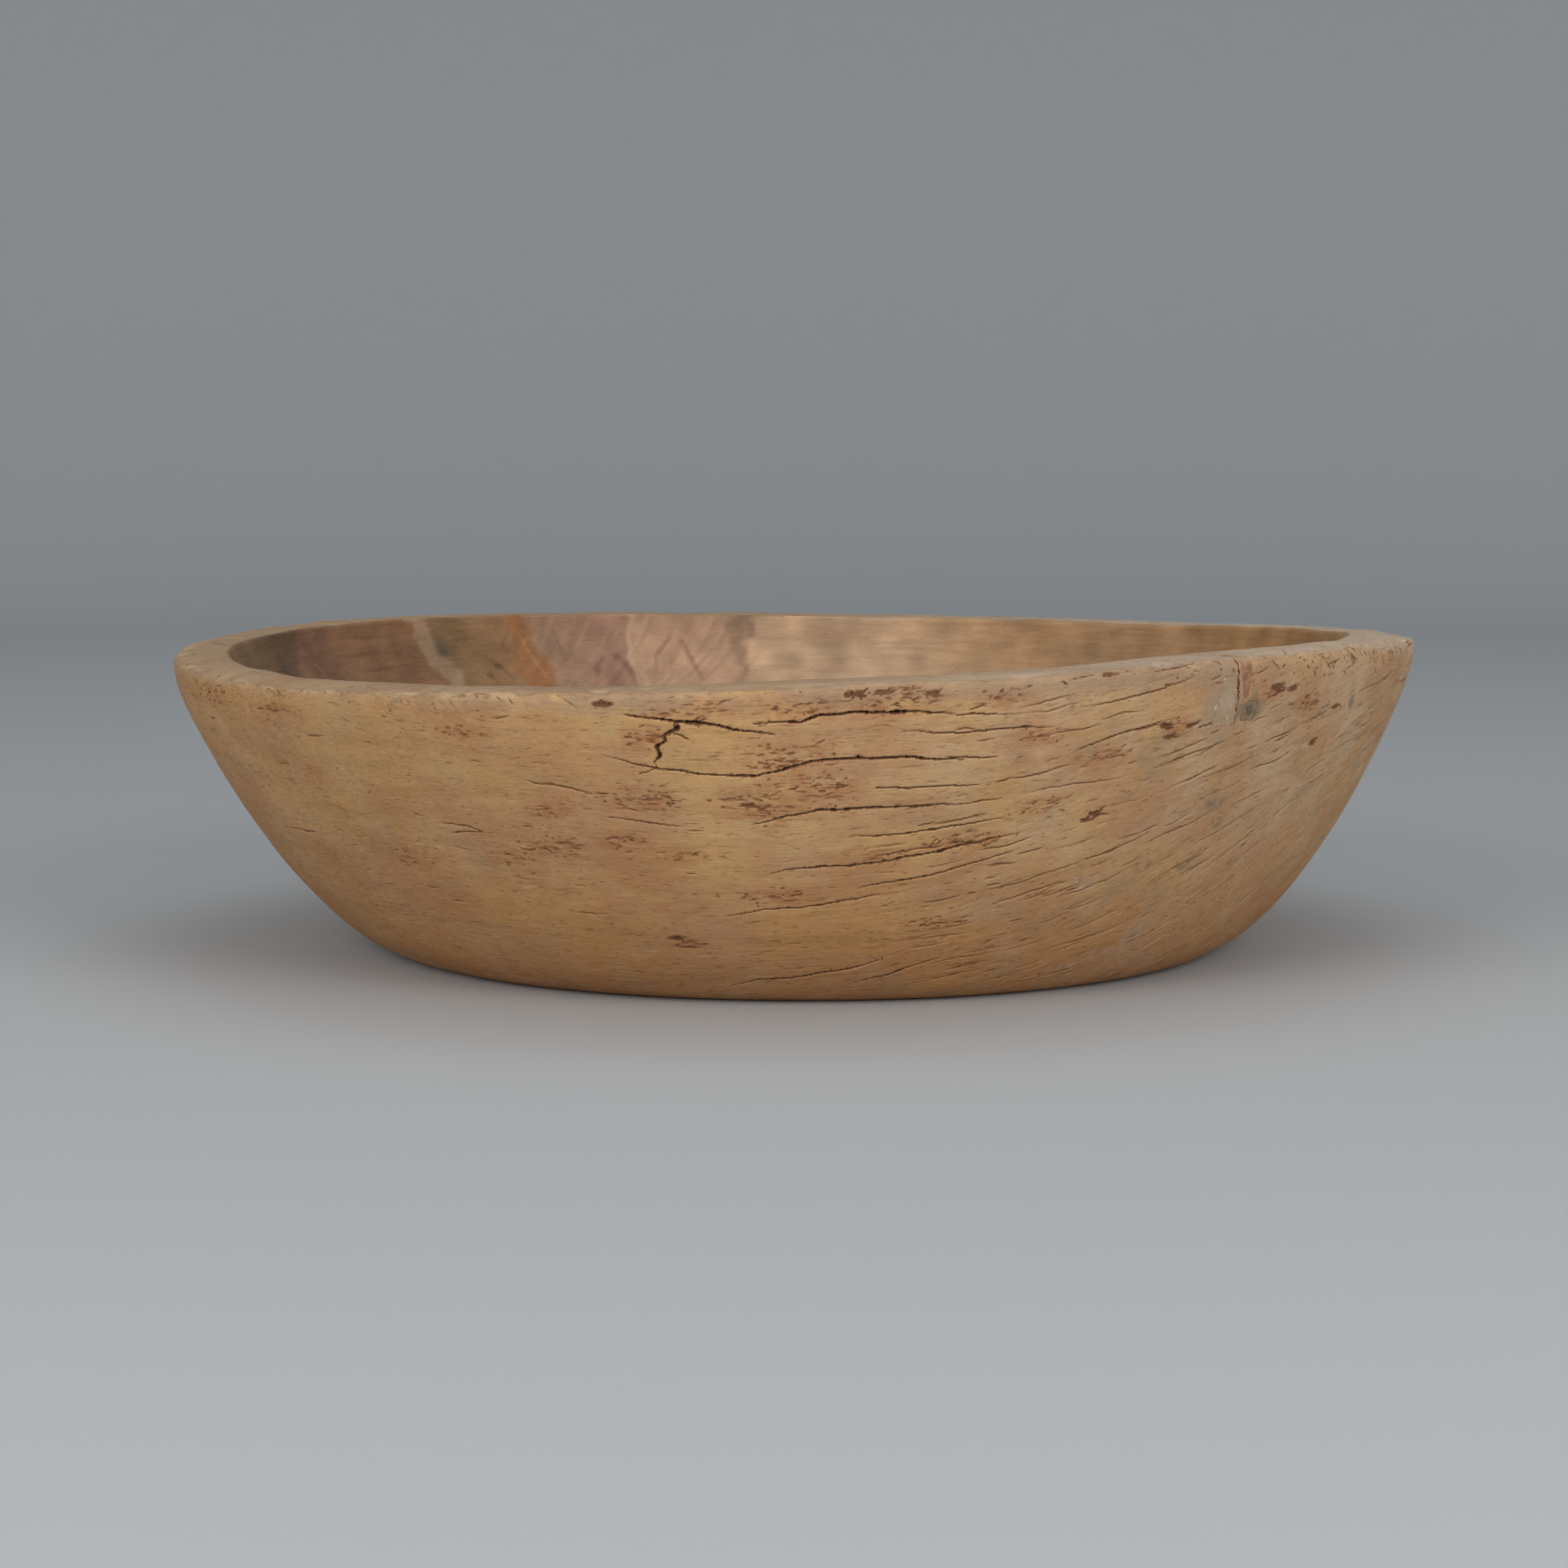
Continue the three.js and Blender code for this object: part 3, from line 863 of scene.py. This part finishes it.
def filler_look(name, core, edge, spots, middle, reach):
    """Set filler: one mixed colour near its middle and another at its edge, with crumbly pale spots."""
    look = Look(name, core)
    wall_place = look.attribute("wall", "Vector")
    cloud = look.noise(wall_place, (0.005, 0.005, 0.005), detail=5.0, roughness=0.65)
    away = look.node("ShaderNodeVectorMath", {0: wall_place, 1: middle}, operation="DISTANCE")
    away = look.calculate("ADD", away.outputs["Value"], look.times(cloud, 2 * reach))
    look.coat(look.rise(away, 1.2 * reach, 2.2 * reach), edge)
    lumps = look.noise(wall_place, (0.0022, 0.003, 0.0025), detail=3.0, offset=2.0)
    look.coat(look.rise(lumps, 0.58, 0.70), spots, 0.8)
    grit = look.noise(wall_place, (0.0007, 0.0007, 0.0007), detail=2.0, offset=6.0)
    look.coat(look.rise(grit, 0.6, 0.75), (96, 80, 62), 0.5)
    height = look.calculate("ADD", cloud, look.times(grit, 0.4))
    return look.finish(look.between(lumps, 0.78, 0.95), height, 0.4 * MM)


# --- The repair ---

WEDGE_DEPTH = 16
FILLER_DEPTH = 6
PLUG_DEPTH = 8
CLEAR_OF_WALL = 12
GLUE_LINE = 0.06


def ragged(outline, draw, amount):
    """An outline with its edges broken into short uneven steps."""
    points = []
    for start, end in zip(outline, outline[1:] + outline[:1]):
        count = max(1, round(math.dist(start, end) / 1.2))
        for share in np.arange(count) / count:
            wobble = draw.normal(0, amount, 2) if share else (0, 0)
            points.append(tuple(a + share * (b - a) + move for a, b, move in zip(start, end, wobble)))
    return points


def grown(outline, distance):
    """Moves every corner of a clockwise outline out from the two edges that meet there."""
    corners = np.array(outline)
    leaving = np.roll(corners, -1, axis=0) - corners
    leaving /= np.linalg.norm(leaving, axis=1, keepdims=True)
    arriving = np.roll(leaving, 1, axis=0)
    outward = np.stack([-arriving[:, 1] - leaving[:, 1], arriving[:, 0] + leaving[:, 0]], axis=1)
    share = distance / (1 + (arriving * leaving).sum(axis=1, keepdims=True))
    return corners + outward * share


def repair_axes():
    """From the repair's axes (x round the rim, y up the wall, z out of it) to the bowl's."""
    lean = Matrix.Rotation(math.pi / 2 + REPAIR_LEAN, 4, "X")
    to_rim = Matrix.Translation((0, -rim_radius(REPAIR_ANGLE), rim_height(REPAIR_ANGLE)))
    return Matrix.Rotation(REPAIR_ANGLE + math.pi / 2, 4, "Z") @ to_rim @ lean


def wall_prism(outline, depth):
    """A prism through the wall at the repair, from outside its surface to the given depth."""
    corners = [Vector((x, y, z)) * MM for z in (CLEAR_OF_WALL, -depth) for x, y in outline]
    count = len(outline)
    faces = [tuple(reversed(range(count))), tuple(range(count, 2 * count))]
    for here in range(count):
        after = (here + 1) % count
        faces.append((here, after, after + count, here + count))
    mesh = bpy.data.meshes.new("prism")
    mesh.from_pydata([repair_axes() @ corner for corner in corners], [], faces)
    return mesh


def linked(name, data):
    """A new object in the scene."""
    made = bpy.data.objects.new(name, data)
    bpy.context.scene.collection.objects.link(made)
    return made


def placed(mesh, material):
    piece = linked(mesh.name, mesh)
    piece.data.materials.append(material)
    return piece


def layer_values(mesh, label):
    """The values a mesh carries under a name, one row per vertex, and the property they are kept in."""
    layer = mesh.attributes[label]
    kind, width = ("vector", 3) if layer.data_type == "FLOAT_VECTOR" else ("value", 1)
    values = np.empty(len(mesh.vertices) * width, np.float32)
    layer.data.foreach_get(kind, values)
    return values.reshape(-1, width), kind


def mend(piece, labels):
    """Gives the vertices that the cuts made the values of their nearest neighbours on the skin."""
    mesh = piece.data
    on_skin = layer_values(mesh, "skin")[0][:, 0] > 0.5
    places = np.empty(len(mesh.vertices) * 3, np.float32)
    mesh.vertices.foreach_get("co", places)
    places = places.reshape(-1, 3)
    made = np.flatnonzero(~on_skin)
    middle = places[made].mean(axis=0)
    near = np.flatnonzero(on_skin & (np.linalg.norm(places - middle, axis=1) < 80 * MM))
    nearest = [near[np.argmin(((places[near] - places[vertex]) ** 2).sum(axis=1))] for vertex in made]
    for label in labels:
        values, kind = layer_values(mesh, label)
        values[made] = values[nearest]
        mesh.attributes[label].data.foreach_set(kind, values.ravel())


def shaped(piece, operation, prism_mesh):
    """Cuts a prism out of a piece, or keeps only what is inside it."""
    prism = linked("prism", prism_mesh)
    modifier = piece.modifiers.new("prism", "BOOLEAN")
    modifier.object = prism
    modifier.operation = operation
    modifier.solver = "MANIFOLD"
    graph = bpy.context.evaluated_depsgraph_get()
    mesh = bpy.data.meshes.new_from_object(piece.evaluated_get(graph))
    piece.modifiers.clear()
    mesh.name = piece.name
    piece.data = mesh
    bpy.data.objects.remove(prism)
    return piece


# --- The bowl ---

OUTLINES = np.random.default_rng(61)
WEDGE_EDGE = ragged(WEDGE, OUTLINES, 0.12)
FILLER_EDGE = ragged(FILLER, OUTLINES, 0.5)
PLUG_EDGE = ragged(PLUG, OUTLINES, 0.6)


def wall_coordinates():
    """Place relative to the repair: round the rim and up the wall."""
    to_repair = np.array(repair_axes().inverted())
    return surface.points @ to_repair[:3, :3].T + to_repair[:3, 3]


def rim_share():
    """1 on the rim's flat top, 0 on the walls. At its two ends it rolls over onto the outer wall."""
    roll = 5 + 9 * end_mask(-160, 60) + 13 * end_mask(0, 34) + 2 * roughness(0.012, 23)
    on_top = 1 - rising(surface.past_inner_edge, -1 * MM, 3 * MM)
    return rising(surface.past_rim_edge / MM, -roll, -0.2 * roll) * on_top


def worn_edge():
    """Where the rim's outer edge is rubbed pale, in patches."""
    near = np.exp(-((surface.past_rim_edge / MM + 3) / 5) ** 2)
    patches = rising(roughness(0.012, 17) + 0.6 * roughness(0.004, 18), -0.3, 0.6)
    return 0.85 * near * patches * (0.35 + 0.65 * np.maximum(end_mask(-140, 60), end_mask(-28, 40)))


def under_rim_band():
    """Where the wall just below the rim is dusty grey, at the front."""
    below = -surface.past_rim_edge
    patches = rising(roughness(0.016, 21) + 0.5 * roughness(0.006, 22), -1.0, 0.2)
    return rising(below, -2 * MM, 2 * MM) * (1 - rising(below, 9 * MM, 18 * MM)) * end_mask(-84, 48) * patches


def smears():
    """How far filler was wiped over the wood round each patch, and its colour there."""
    x, y = wall_coordinates()[..., 0] / MM, wall_coordinates()[..., 1] / MM
    rough = 0.4 * roughness(0.007, 19) + 0.3 * roughness(0.0025, 20)
    outside = surface.past_rim_edge < 0
    light = rising(np.hypot((x + 5.5) / 13.5, (y + 21) / 19) + rough, 1.2, 0.75) * outside
    dark = rising(np.hypot((x - 12.5) / 10, (y + 25.5) / 8.5) + rough, 1.15, 0.7) * outside
    colour = painted(np.array([168, 142, 114]) / 255, dark, (140, 117, 90))
    return 0.85 * np.maximum(light, dark), colour ** 2.2


def split_shadow():
    """1 along the split, whose walls are dark."""
    x, y, z = np.moveaxis(wall_coordinates() / MM, -1, 0)
    line = np.array(SPLIT_LINE[::-1])
    middle = np.interp(y, line[:, 1], line[:, 0])
    along = rising(y, -38, -14) * (z < 10) * (y < 10)
    return 0.8 * (1 - rising(np.abs(x - middle), 0.15, 0.55)) * along


def weathered_bowl():
    """The bowl itself: carved, worn, cracked and cut open for the repair."""
    everywhere = blank() + 1
    inside = rising(surface.past_inner_edge, -1 * MM, 2 * MM)
    pitted = near_spots(PITTED)
    cracks, pits, ends = drying_cracks(), small_pits(pitted), rim_checks()
    push = carved_form() + scallops() + cracks + pits + ends
    push += 0.10 * MM * roughness(0.003, 16)
    points = surface.points + surface.inward() * push[..., None]
    points[..., 2] = np.maximum(points[..., 2], 0)
    under_rim = rising(surface.past_rim_edge, -22 * MM, -6 * MM)
    rightward = rising(surface.points[..., 0], -0.05, 0.2)
    grey = 0.25 + 0.25 * rightward + 0.7 * under_rim * end_mask(-85, 40)
    pale = 0.25 + 0.6 * rightward * rising(surface.height, 0.03, 0.12)[:, None]
    # Painted shade for the cracks, rim checks, pits and split, darkest where they are deepest.
    cut_shade = np.maximum.reduce([cracks / (1.9 * MM), ends / (2 * MM), pits / (3 * MM), split_shadow()])
    smear, smeared = smears()
    attributes = {
        "skin": everywhere,
        "grain": grain_coordinates(),
        "cut": np.clip(cut_shade, 0, 1),
        "fleck": np.clip(pits / (0.28 * MM), 0, 1),
        "rust": pitted,
        "grey": np.clip(grey, 0, 1),
        "pale": pale,
        "stain": np.sqrt(near_spots(STAINS)),
        "scuff": np.sqrt(near_spots(SCUFFS)),
        # The rim's pale top: dust and rubbing, and painted light.
        "rim": 0.8 * rim_share(),
        "band": 0.8 * under_rim_band(),
        "worn": worn_edge(),
        "smear": smear,
        "smeared": smeared,
        "inside": inside * everywhere,
        "figure_and_shade": inside_figure_and_shade(),
    }
    piece = placed(surface_mesh("weathered_bowl", points, attributes), weathered_wood())
    for outline, depth in ((WEDGE_EDGE, WEDGE_DEPTH), (FILLER_EDGE, FILLER_DEPTH), (PLUG_EDGE, PLUG_DEPTH)):
        shaped(piece, "DIFFERENCE", wall_prism(grown(outline, GLUE_LINE), depth + GLUE_LINE))
    shaped(piece, "DIFFERENCE", wall_prism(SPLIT, WALL / MM + CLEAR_OF_WALL))
    mend(piece, attributes)
    return piece


def inlay(name, outline, depth, relief, material):
    """A repair piece: what its outline cuts from the bowl, with its own surface."""
    push = carved_form() + relief
    points = surface.points + surface.inward() * push[..., None]
    piece = shaped(placed(surface_mesh(name, points, {}), material), "INTERSECT", wall_prism(outline, depth))
    to_repair = repair_axes().inverted()
    places = [tuple(to_repair @ vertex.co) for vertex in piece.data.vertices]
    piece.data.attributes.new("wall", "FLOAT_VECTOR", "POINT").data.foreach_set("vector", np.ravel(places))
    return piece


bowl = weathered_bowl()
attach(bowl, "root")
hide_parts("bowl_body")

wedge = inlay("hardwood_wedge", WEDGE_EDGE, WEDGE_DEPTH,
              (0.3 + 0.2 * noise(wall_coordinates() * (4, 1, 1), 0.006, 71)) * MM, hard_wood())
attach(wedge, "root")
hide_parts("split_wedge")

filler = inlay("pale_patch", FILLER_EDGE, FILLER_DEPTH,
               (0.2 + 0.25 * roughness(0.005, 72) + 0.2 * roughness(0.002, 73)) * MM,
               filler_look("pale_filler", (178, 154, 128), (168, 142, 114), (212, 198, 178),
                           (-3.5 * MM, -20 * MM, 0), 7 * MM))
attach(filler, "root")
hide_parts("split_filler")

plug = inlay("dark_patch", PLUG_EDGE, PLUG_DEPTH,
             (0.3 + 0.4 * roughness(0.004, 74) + 0.3 * roughness(0.0018, 75)) * MM,
             filler_look("dark_filler", (92, 88, 76), (142, 120, 94), (160, 134, 104),
                         (12.5 * MM, -25.5 * MM, 0), 3.6 * MM))
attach(plug, "root")
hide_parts("wedge_foot_plug")


# --- Floor, light and camera ---

def studio():
    """A pale floor that curves up into a low wall all round."""
    look = Look("pale_studio", (185, 188, 191))
    look.join(srgb(*look.colour), look.shader.inputs["Base Color"])
    look.join(0.9, look.shader.inputs["Roughness"])
    floor_radius, curve, wall_top, sides = 2.5, 1.0, 3.2, 128
    section = [(floor_radius + curve * math.sin(turn), curve * (1 - math.cos(turn)))
               for turn in np.linspace(0, math.pi / 2, 17)] + [(floor_radius + curve, wall_top)]
    corners = [(radius * math.cos(turn), radius * math.sin(turn), height)
               for radius, height in section for turn in np.arange(sides) * 2 * math.pi / sides]
    faces = [tuple(range(sides))]
    for ring, here in itertools.product(range(len(section) - 1), range(sides)):
        low, high = ring * sides, (ring + 1) * sides
        after = (here + 1) % sides
        faces.append((low + after, low + here, high + here, high + after))
    mesh = bpy.data.meshes.new("studio")
    mesh.from_pydata(corners, [], faces)
    mesh.shade_smooth()
    placed(mesh, look.material)


def soft_light(name, location, size, power, colour):
    """A wide lamp turned towards the middle of the bowl."""
    light = bpy.data.lights.new(name, "AREA")
    light.shape = "RECTANGLE"
    light.size, light.size_y = size
    light.energy = power
    light.color = colour
    lamp = linked(name, light)
    lamp.location = location
    lamp.rotation_euler = (Vector((0, 0, 0.08)) - Vector(location)).to_track_quat("-Z", "Y").to_euler()


def ambient(colour, strength):
    world = bpy.data.worlds.new("ambient")
    world.use_nodes = True
    background = world.node_tree.nodes["Background"]
    background.inputs["Color"].default_value = (*colour, 1)
    background.inputs["Strength"].default_value = strength
    bpy.context.scene.world = world


def camera():
    """The viewing angle: nearly level, from a little more than two metres away."""
    data = bpy.data.cameras.new("camera")
    data.lens = 92.1
    data.sensor_width = 36
    eye = linked("camera", data)
    eye.location = (-0.0059, -2.08, 0.300)
    eye.rotation_euler = (math.radians(90 - 6.01), 0, 0)
    bpy.context.scene.camera = eye


studio()
soft_light("left_window", (-1.6, -2.25, 1.15), (1.8, 1.5), 35, (1.0, 0.985, 0.95))
soft_light("right_window", (1.65, -2.2, 1.15), (1.8, 1.5), 35, (1.0, 0.985, 0.955))
soft_light("top", (0.2, 0.2, 2.6), (1.8, 1.8), 6, (1.0, 0.99, 0.97))
ambient((0.92, 0.96, 1.0), 0.42)
camera()
bpy.context.scene.view_settings.view_transform = "Standard"
